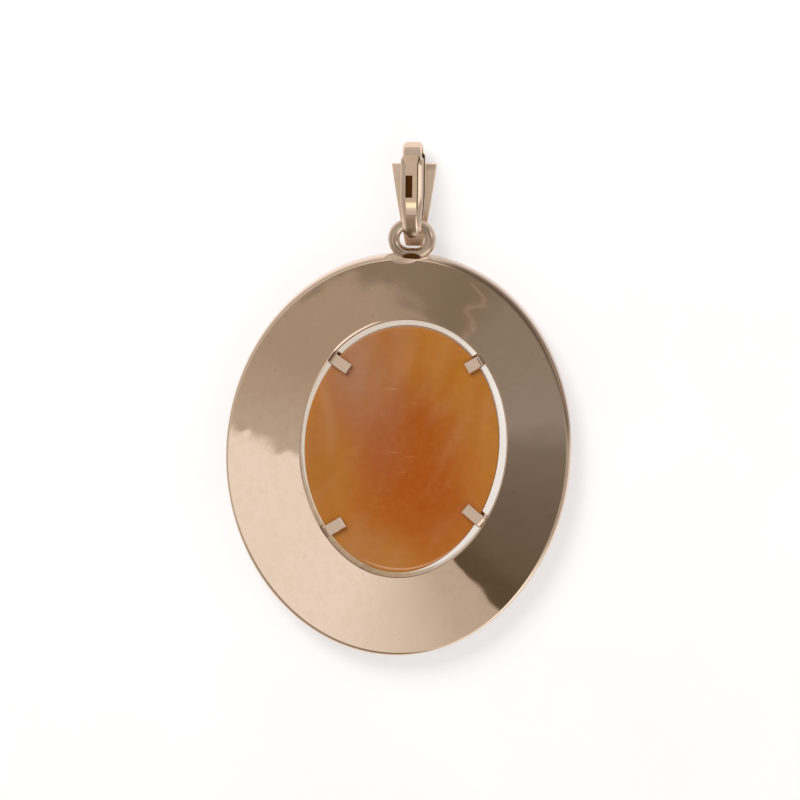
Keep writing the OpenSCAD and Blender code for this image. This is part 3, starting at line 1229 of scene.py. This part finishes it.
@dataclass
class BailStrip(Part):
    """Folded strip that forms the bail's loop, with a small plain sunk panel in its back."""

    body: ClassVar[Body] = Body.BAIL
    node: ClassVar[Node] = Node.BAIL
    slot: ClassVar[Slot] = Slot.BAIL
    crease: ClassVar[float] = 24.0
    width: float = 2.0
    back_width: float = 2.4
    foot_width: float = 1.9
    taper: float = 4.0
    shoulder: float = 0.35
    thick: float = 0.5
    low_r: float = 2.0
    top_r: float = 1.6
    length: float = 10.1
    below_pivot: float = 1.45
    corner: float = 0.28
    skim: float = 0.08
    front: float = 0.5
    soft: float = 0.12
    flat: float = 0.50
    fall: float = 0.22
    crown_flat: float = 0.78
    crown_fall: float = 0.06
    flat_from: float = 21.7
    heel_pulls: tuple[float, float, float] = (1.6, -2.4, 0.296)
    heel_steps: int = 30
    arc_steps: int = 26
    back_steps: int = 20
    inner_steps: int = 12
    slope_steps: int = 8
    face_lines: tuple[float, ...] = (-0.35, -0.15, 0.2, 0.4)
    panel_w: float = 0.65
    panel_l: float = 2.25
    panel_d: float = 0.3
    panel_left: float = 0.28
    panel_at: float = 22.95
    wall: float = 0.02
    # strength of the painted dark reflection at the foot
    foot_dark: float = 0.85
    pivot: Vector = field(default_factory=lambda: Vector(frame["joints"][0]["pos_m"]) / MM)
    lean: float = 3.0
    foot: float = field(init=False)
    low: Vector = field(init=False)
    top: Vector = field(init=False)
    slope: float = field(init=False)

    def __post_init__(self) -> None:
        """Work out the loop's foot, the centres of its two bends and the slope of its back."""
        self.foot = self.pivot.y - self.below_pivot
        self.low = Vector((0.0, self.foot + self.low_r, self.front + self.low_r))
        self.top = Vector((0.0, self.foot + self.length - self.top_r, self.front + self.top_r))
        self.slope = 2 * math.atan2(self.top_r - self.low_r, self.top.y - self.low.y)

    def half_width(self, along: float) -> float:
        """Half width of the strip, seen from behind.

        Args:
            along: Place along y.

        Returns:
            The half width.
        """
        foot, crown = self.foot - self.skim, self.foot + self.length + self.skim
        round_r, back = self.foot_width / 2, self.back_width / 2
        half = round_r + (back - round_r) * smooth(along, foot + round_r, foot + round_r + self.taper)
        half += (self.width / 2 - back) * smooth(along, self.top.y, self.top.y + self.shoulder)
        if along < foot + round_r:
            half = math.sqrt(max(round_r**2 - (foot + round_r - along) ** 2, 0.01))
        if along > crown - self.corner:
            rest = crown - self.corner - along
            half = self.width / 2 - self.corner + math.sqrt(max(self.corner**2 - rest**2, 0.0))
        return half

    def arc(self, centre: Vector, radius: float, start: float, end: float) -> Stations:
        """Points round a bend, with their outward directions.

        Args:
            centre: Centre of the bend.
            radius: Its outer radius.
            start: Turn at which it starts, in radians.
            end: Turn at which it ends.

        Returns:
            Pairs of point and direction, in order.
        """
        stations = []
        for i in range(self.arc_steps + 1):
            turn = start + (end - start) * i / self.arc_steps
            out = Vector((0.0, math.cos(turn), math.sin(turn)))
            stations.append((centre + out * radius, out))
        return stations

    def heel(self, foot: Vector, flat: Vector) -> Stations:
        """Points of the flattened bend from the foot of the loop to its straight back.

        Args:
            foot: Lowest point of the loop.
            flat: Where the straight back starts.

        Returns:
            Pairs of point and direction, in order.
        """
        lift, back, over = self.heel_pulls
        path = [foot, foot + rise(lift), flat + Vector((0.0, back, over)), flat]
        stations = []
        for i in range(1, self.heel_steps + 1):
            t = i / self.heel_steps
            u = 1 - t
            shares = (u**3, 3 * u**2 * t, 3 * u * t**2, t**3)
            pulls = (-(u**2), u**2 - 2 * t * u, 2 * t * u - t**2, t**2)
            point = sum((knot * share for knot, share in zip(path, shares)), Vector())
            ahead = sum((knot * pull for knot, pull in zip(path, pulls)), Vector()).normalized()
            stations.append((point, Vector((0.0, -ahead.z, ahead.y))))
        return stations

    def stations(self) -> Stations:
        """Points round the outside of the loop, with their outward directions.

        Returns:
            Pairs of point and direction, in order.
        """
        tangent = math.pi / 2 + self.slope
        out = Vector((0.0, math.cos(tangent), math.sin(tangent)))
        begin, end = self.low + out * self.low_r, self.top + out * self.top_r
        begin = begin.lerp(end, (self.flat_from - begin.y) / (end.y - begin.y))
        stations = self.arc(self.low, self.low_r, 1.5 * math.pi, math.pi)
        stations += self.heel(self.low - Vector((0.0, self.low_r, 0.0)), begin)
        span = end.y - begin.y
        marks = [begin.y + span * i / self.back_steps for i in range(1, self.back_steps)]
        for side in (-1, 1):
            wall = self.panel_at + side * self.panel_l / 2
            marks += [wall - self.wall, wall + self.wall]
        stations += [(begin.lerp(end, (at - begin.y) / span), out) for at in sorted(marks)]
        stations += self.arc(self.top, self.top_r, tangent, -math.pi / 2)
        begin, end = self.top - rise(self.top_r), self.low - rise(self.low_r)
        shares = [i / self.inner_steps for i in range(1, self.inner_steps)]
        return stations + [(begin.lerp(end, share), rise(-1.0)) for share in shares]

    def section(self, along: float) -> list[tuple[float, float]]:
        """Section of the strip: flat in the middle, with sloping sides, soft edges and a flat inside.

        Args:
            along: Place along y. Towards the crown the section is flat almost to its sides.

        Returns:
            Pairs of place across and depth below the outside.
        """
        half = self.half_width(along)
        capped = smooth(along, self.top.y - 0.45, self.top.y + 0.15)
        soft = min(self.soft, half / 2)
        flat = half * (self.flat + (self.crown_flat - self.flat) * capped)
        fall = self.fall + (self.crown_fall - self.fall) * capped
        shares = list(self.face_lines)
        for side in (-1, 1):
            wall = side * self.panel_w / 2 - self.panel_left
            shares += [2 * (wall + step) / self.back_width for step in (-self.wall / 2, self.wall / 2)]
        slopes = []
        for reach in (i / self.slope_steps for i in range(self.slope_steps + 1)):
            slopes.append((flat + (half - soft - flat) * reach, fall * reach**1.4))
        side = [(half, fall + soft), (half, self.thick - soft / 2), (half - soft / 2, self.thick)]
        left, inner = [[(-across, depth) for across, depth in reversed(row)] for row in (slopes, side)]
        return left + [(half * share, 0.0) for share in sorted(shares)] + slopes + side + inner

    def in_panel(self, across: float, along: float) -> bool:
        """Whether a place on the back of the strip lies on the floor of the sunk panel."""
        beside = abs(across + self.panel_left) > self.panel_w / 2
        return not beside and abs(along - self.panel_at) <= self.panel_l / 2

    def foot_shade(self, across: float, along: float, height: float) -> float:
        """Painted dark reflection at the left of the strip's foot."""
        low = smooth(height, 2.6, 3.1) * (1 - smooth(along, 18.0, 18.7))
        return self.foot_dark * low * (1 - smooth(across, -0.1, 0.25))

    def build(self) -> Piece:
        """Make the strip.

        Returns:
            The piece.
        """
        rows = []
        shaded = []
        for point, out in self.stations():
            row = []
            for across, depth in self.section(point.y):
                back = out.z >= 0 and depth <= self.thick / 2
                # 1 on the floor of the sunk panel: it sinks the point and paints its shade
                sunk = float(back and self.in_panel(across, point.y))
                shaded.append(max(sunk, self.foot_shade(across, point.y, point.z)))
                row.append(point + Vector((across, 0.0, 0.0)) - out * (depth + self.panel_d * sunk))
            rows.append(row)
        piece = Skin(rows, endless=True).piece("bail_strip")
        mark(piece, shaded)
        self.tilt(piece)
        return piece

    def tilt(self, piece: Piece) -> None:
        """Lean a piece of the bail on its ring."""
        pivot = Matrix.Translation(self.pivot * MM)
        piece.data.transform(pivot @ Matrix.Rotation(math.radians(self.lean), 4, "Z") @ pivot.inverted())


@dataclass
class BailFan(Part):
    """Fan-shaped front plate of the bail."""

    body: ClassVar[Body] = Body.BAIL
    node: ClassVar[Node] = Node.BAIL
    slot: ClassVar[Slot] = Slot.BAIL
    crease: ClassVar[float] = 20.0
    thick: float = 0.5
    top_width: float = 4.7
    foot_width: float = 1.8
    length: float = 8.7
    gap: float = 0.35
    soft: float = 0.12
    soft_steps: int = 3
    bow: float = 0.09
    steps: int = 12

    def build(self, top: float, strip: BailStrip) -> Piece:
        """Make the plate and lean it with the strip.

        Args:
            top: Top of the frame's oval along y.
            strip: The strip that it is soldered to.

        Returns:
            The piece.
        """
        side = []
        for share in (i / self.steps for i in range(self.steps + 1)):
            half = self.foot_width / 2 * (1 - share) + self.top_width / 2 * share
            half += self.bow * math.sin(math.pi * share)
            side.append((half, top + self.gap + self.length * share))
        outline = side + [(-half, along) for half, along in reversed(side)]
        skin = Skin([[Vector((x, y, height)) for x, y in outline] for height in (0.0, self.thick)])
        skin.faces += [tuple(ring) for ring in skin.rings]
        piece = skin.piece("bail_fan")
        bevel = piece.modifiers.new("edges", "BEVEL")
        bevel.width, bevel.segments, bevel.limit_method = self.soft * MM, self.soft_steps, "ANGLE"
        settle(piece)
        strip.tilt(piece)
        return piece


@dataclass
class Studio:
    """Pale table, light tent, lamp and camera.

    The tent is mapped round the camera's glance off a level mirror: by its bearing, and by its reach away.
    Each card of light has a bearing, a light and a warmth.
    """

    across_mm: float = 84.03
    distance: float = 900.0
    sensor: float = 36.0
    tilt_up: float = 11.0
    tilt_right: float = 3.5
    roll: float = 3.1
    off_right: float = 0.043
    off_up: float = -50.914
    picture: float = 800.0
    table: float = 700.0
    table_z: float = -0.01
    paper: tuple[Colour, Colour] = ((0.46, 0.45, 0.455), (0.48, 0.475, 0.475))
    paper_glow: Colour = (0.54, 0.531, 0.531)
    bounce_left: Colour = (0.58, 0.53, 0.45)
    bounce_right: Colour = (0.71, 0.69, 0.65)
    bounce_low: Colour = (0.54, 0.46, 0.33)
    lamp_at: tuple[float, float, float] = (-280.0, 440.0, 450.0)
    lamp_size: float = 330.0
    lamp_power: float = 3.5
    seam: float = 30.0
    zenith_tone: Colour = (0.67, 0.65, 0.63)
    horizon_tone: Colour = (0.66, 0.65, 0.64)
    left_tone: Colour = (0.985, 0.98, 0.975)
    line_tone: Colour = (0.56, 0.48, 0.41)
    glint_tone: Colour = (1.5, 1.45, 1.15)
    glint_at: tuple[float, float] = (93.0, 9.0)
    glint_size: float = 3.4
    far_from: tuple[float, float] = (36.0, 30.0)
    plate_to: tuple[float, float] = (9.0, 7.5)
    zenith_to: tuple[float, float] = (3.8, 3.0)
    edge_at: tuple[float, float] = (143.8, 144.8)
    top_slant: tuple[float, float, float, float] = (5.07, 112.0, 290.5, 296.5)
    left_slant: tuple[float, float, float, float] = (4.8, -15.7, 348.0, 352.4)
    line_slant: tuple[float, float, float] = (5.23, 48.0, 238.6)
    line_ends: tuple[float, float] = (0.17, 0.12)
    wander: float = 1.6
    pale_cards: Cards = (
        (30, 0.985, 0), (60, 0.975, 0), (78, 0.90, 0.03), (92, 0.84, 0.06), (113, 0.73, 0.12),
        (128, 0.63, 0.14), (150, 0.58, 0.15),
    )
    dark_cards: Cards = (
        (136, 0.125, 0.48), (150, 0.125, 0.48), (159, 0.165, 0.34), (176, 0.195, 0.26), (187, 0.235, 0.18),
        (195, 0.34, 0.08), (213, 0.325, 0.19), (230, 0.31, 0.18), (238, 0.26, 0.26), (250, 0.26, 0.27),
        (265, 0.29, 0.24), (390, 0.33, 0.21),
    )
    top_cards: Cards = (
        (30, 0.40, 0.20), (270, 0.41, 0.20), (290, 0.465, 0.27), (328, 0.465, 0.27), (337, 0.51, 0.24),
        (350, 0.57, 0.17), (390, 0.60, 0.15),
    )
    middle_cards: Cards = (
        (30, 0.14, 0.3), (66, 0.14, 0.3), (80, 0.60, 0.25), (105, 0.70, 0.12), (160, 0.70, 0.08),
        (190, 0.84, 0.04), (203, 0.75, 0.06), (214, 0.42, 0.15), (245, 0.40, 0.2), (262, 0.30, 0.3),
        (276, 0.30, 0.3), (288, 1.1, 0), (322, 1.3, 0), (332, 0.50, 0.12), (362, 0.46, 0.12),
        (372, 0.16, 0.3), (390, 0.14, 0.3),
    )
    far_cards: Cards = (
        (30, 0.80, 0), (40, 0.50, 0), (100, 0.58, 0.04), (160, 0.54, 0.05), (182, 0.48, 0.1),
        (214, 0.38, 0.2), (228, 0.33, 0.25), (280, 0.27, 0.32), (296, 1.3, 0), (324, 1.5, 0),
        (336, 0.50, 0.1), (366, 0.50, 0.1), (374, 1.25, 0), (384, 1.25, 0), (390, 0.80, 0),
    )

    def axes(self) -> tuple[Vector, Vector, Vector]:
        """Right, up and back directions of the camera.

        Returns:
            The three directions.
        """
        right = Vector((1.0, 0.0, -math.tan(math.radians(self.tilt_right)))).normalized()
        lift = math.radians(self.tilt_up)
        up = Vector((0.0, math.cos(lift), -math.sin(lift)))
        up = (up - right * up.dot(right)).normalized()
        back = right.cross(up)
        turn = Matrix.Rotation(math.radians(self.roll), 3, back)
        return turn @ right, turn @ up, back

    def shoot(self, outer: Oval) -> None:
        """Set the camera so that the frame sits where the photograph has it.

        Args:
            outer: The frame's outer edge.
        """
        right, up, back = self.axes()
        pixel = self.across_mm / self.picture
        aim = outer.middle + NUDGE - right * (self.off_right * pixel) - up * (self.off_up * pixel)
        data = bpy.data.cameras.new("camera")
        data.sensor_width = self.sensor
        data.lens = self.sensor * self.distance / self.across_mm
        data.clip_start, data.clip_end = 0.01, 10.0
        camera = bpy.data.objects.new("camera", data)
        columns = Matrix((right, up, back)).transposed().to_4x4()
        camera.matrix_world = Matrix.Translation((aim + back * self.distance) * MM) @ columns
        bpy.context.scene.collection.objects.link(camera)
        bpy.context.scene.camera = camera

    def lay_table(self, opening: Oval) -> None:
        """Lay the pale, evenly glowing surface under the pendant, with painted warm bounce light and shade
        in its glow inside the frame's opening.

        Args:
            opening: The opening.
        """
        sides = [(x * self.table / 2, y * self.table / 2) for x, y in ((-1, -1), (1, -1), (1, 1), (-1, 1))]
        table = draft("table", [Vector((x, y, self.table_z)) for x, y in sides], [], [(0, 1, 2, 3)])
        paint = Paint("pale_table")
        place = paint.shares(opening)
        # painted light and shade in the glow inside the opening: warm bounce from the gold, darker at the
        # left and lower left
        side = paint.ease(paint.dot(place, 0.85, -0.5, 0.0), -0.6, 0.8)
        low_left = paint.ease(paint.dot(place, -0.45, -0.9, 0.0), 0.6, 0.9)
        bounce = paint.mix(side, self.bounce_left, self.bounce_right)
        bounce = paint.mix(low_left, bounce, self.bounce_low)
        inside = paint.ease(paint.vector("LENGTH", place), 1.10, 1.0)
        table.data.materials.append(
            paint.finish(
                {
                    "Base Color": paint.mix(paint.patches(30.0, 3.0, 0.3, 0.7), *self.paper),
                    "Roughness": 0.9,
                    "Specular IOR Level": 0.05,
                    "Emission Color": paint.mix(inside, self.paper_glow, bounce),
                    "Emission Strength": 1.0,
                }
            )
        )

    def pitch_tent(self) -> None:
        """Surround the table with a soft tent of light, with cards where the pendant mirrors it."""
        world = bpy.data.worlds.new("tent")
        world.use_nodes = True
        world.node_tree.nodes.clear()
        bpy.context.scene.world = world
        graph = Graph(world.node_tree, "Generated")
        bearing, reach = self.polar(graph)
        bands = (self.far_cards, self.middle_cards)
        far, middle = [graph.band(bearing, cards, self.seam) for cards in bands]
        above = graph.ease(graph.dot(graph.where, 0.0, 0.0, 1.0), 0.20, 0.50)
        tone = graph.mix(above, self.horizon_tone, far)
        for edge, inner in (
            (self.far_from, middle),
            (self.plate_to, self.plate_tone(graph, bearing, reach)),
            (self.zenith_to, self.zenith_tone),
        ):
            tone = graph.mix(graph.ease(reach, *edge), tone, inner)
        at, out = self.glint_at
        off = graph.math("ABSOLUTE", graph.less(bearing, at))
        aside = graph.math("POWER", graph.times(graph.times(off, reach), math.radians(1.0)), 2.0)
        ahead = graph.math("POWER", graph.less(reach, out), 2.0)
        away = graph.math("SQRT", graph.math("ADD", aside, ahead))
        tone = graph.mix(graph.ease(away, self.glint_size, 0.6 * self.glint_size), tone, self.glint_tone)
        light = graph.add("ShaderNodeBackground", {"Color": tone, "Strength": 1.0})
        graph.add("ShaderNodeOutputWorld", {"Surface": light.outputs[0]})

    def plate_tone(self, graph: Graph, bearing: Socket, reach: Socket) -> Socket:
        """Tone of what the dished plate mirrors, with its slanting borders and one thin line.

        Args:
            graph: The world's graph.
            bearing: Bearing round the camera's glance, in degrees.
            reach: Angle from the glance, in degrees.

        Returns:
            The tone.
        """
        bands = (self.pale_cards, self.dark_cards, self.top_cards)
        pale, dark, top = [graph.band(bearing, cards, self.seam) for cards in bands]
        plate = graph.mix(graph.ease(bearing, *self.edge_at), pale, dark)
        for (middle, lean, low, high), tone in ((self.top_slant, top), (self.left_slant, self.left_tone)):
            slant = graph.plus(bearing, graph.less(reach, middle), lean)
            plate = graph.mix(graph.ease(slant, low, high), plate, tone)
        middle, lean, at = self.line_slant
        beside = graph.less(graph.plus(bearing, graph.less(reach, middle), lean), at)
        line = graph.ease(graph.math("ABSOLUTE", beside), 1.0, 0.45)
        ends = graph.ease(graph.math("ABSOLUTE", graph.less(reach, 5.22)), *self.line_ends)
        return graph.mix(graph.times(line, ends), plate, self.line_tone)

    def polar(self, graph: Graph) -> tuple[Socket, Socket]:
        """Measure a direction round the camera's glance off a level mirror, and away from it.

        Args:
            graph: The world's graph.

        Returns:
            Its bearing, from the seam on, and its angle from the glance, both in degrees.
        """
        _, _, back = self.axes()
        glance = (rise(2 * back.z) - back).normalized()
        east = (Vector((1.0, 0.0, 0.0)) - glance * glance.x).normalized()
        north = glance.cross(east)
        turn = math.radians(self.seam + 180)
        ahead = east * math.cos(turn) + north * math.sin(turn)
        aside = north * math.cos(turn) - east * math.sin(turn)
        angle = graph.math("ARCTAN2", graph.dot(graph.where, *aside), graph.dot(graph.where, *ahead))
        bearing = graph.plus(self.seam + 180, angle, math.degrees(1.0))
        bearing = graph.plus(bearing, graph.less(graph.noise(60.0, 1.0), 0.5), self.wander)
        away = graph.math("ARCCOSINE", graph.dot(graph.where, *glance))
        return bearing, graph.times(away, math.degrees(1.0))

    def hang_lamp(self) -> None:
        """Hang a square softbox that faces the pendant and isn't mirrored by it."""
        data = bpy.data.lights.new("key", "AREA")
        data.size, data.energy = self.lamp_size * MM, self.lamp_power
        lamp = bpy.data.objects.new("key", data)
        at = Vector(self.lamp_at)
        lamp.matrix_world = Matrix.Translation(at * MM) @ at.to_track_quat("Z", "Y").to_matrix().to_4x4()
        lamp.visible_glossy = False
        bpy.context.scene.collection.objects.link(lamp)

    def build(self, border: Border) -> None:
        """Set up the whole studio.

        Args:
            border: The border that the camera looks at.
        """
        self.shoot(border.outer)
        self.lay_table(border.opening)
        self.pitch_tent()
        self.hang_lamp()
        bpy.context.scene.view_settings.view_transform = "Standard"


def main() -> None:
    """Build the pendant and its studio, and report each piece."""
    logging.basicConfig(level=logging.INFO)
    border = Border()
    shell = Shell()
    strip = BailStrip()
    Studio().build(border)
    gold = GoldFinish("polished_gold").material()
    # shaded copy of the gold: its darker tone paints the ring's shade
    shaded_ring_gold = GoldFinish("shaded_ring_gold", tone=(0.60, 0.46, 0.35), roughness=0.16, smudge=0.05)
    seat_gold = GoldFinish("seat_gold", roughness=0.26, smudge=0.08)
    bail_gold = GoldFinish("bail_gold", roughness=0.07)
    # lit copy of the gold: its lighter tone paints light on the fan, and its roughness gives the satin
    # finish
    lit_fan_gold = GoldFinish("lit_fan_gold", tone=(0.90, 0.71, 0.555), roughness=0.34, smudge=0.08, grain=0.2)
    for part, carriers, material in (
        (border, (), gold),
        (Claws(), (border.opening,), gold),
        (WireRing(), (border.top,), shaded_ring_gold.material()),
        (SolderSeat(), (border,), seat_gold.material()),
        (shell, (), ShellFinish("orange_shell", shell.oval).material()),
        (Relief(), (shell,), CarvedFinish("cream_layer").material()),
        (strip, (), bail_gold.material()),
        (BailFan(), (border.top, strip), lit_fan_gold.material()),
    ):
        piece = part.build(*carriers)
        part.dress(piece, material)
        LOG.info("%s: %d faces on %s", piece.name, len(piece.data.polygons), part.body.value)


if __name__ == "__main__":
    main()
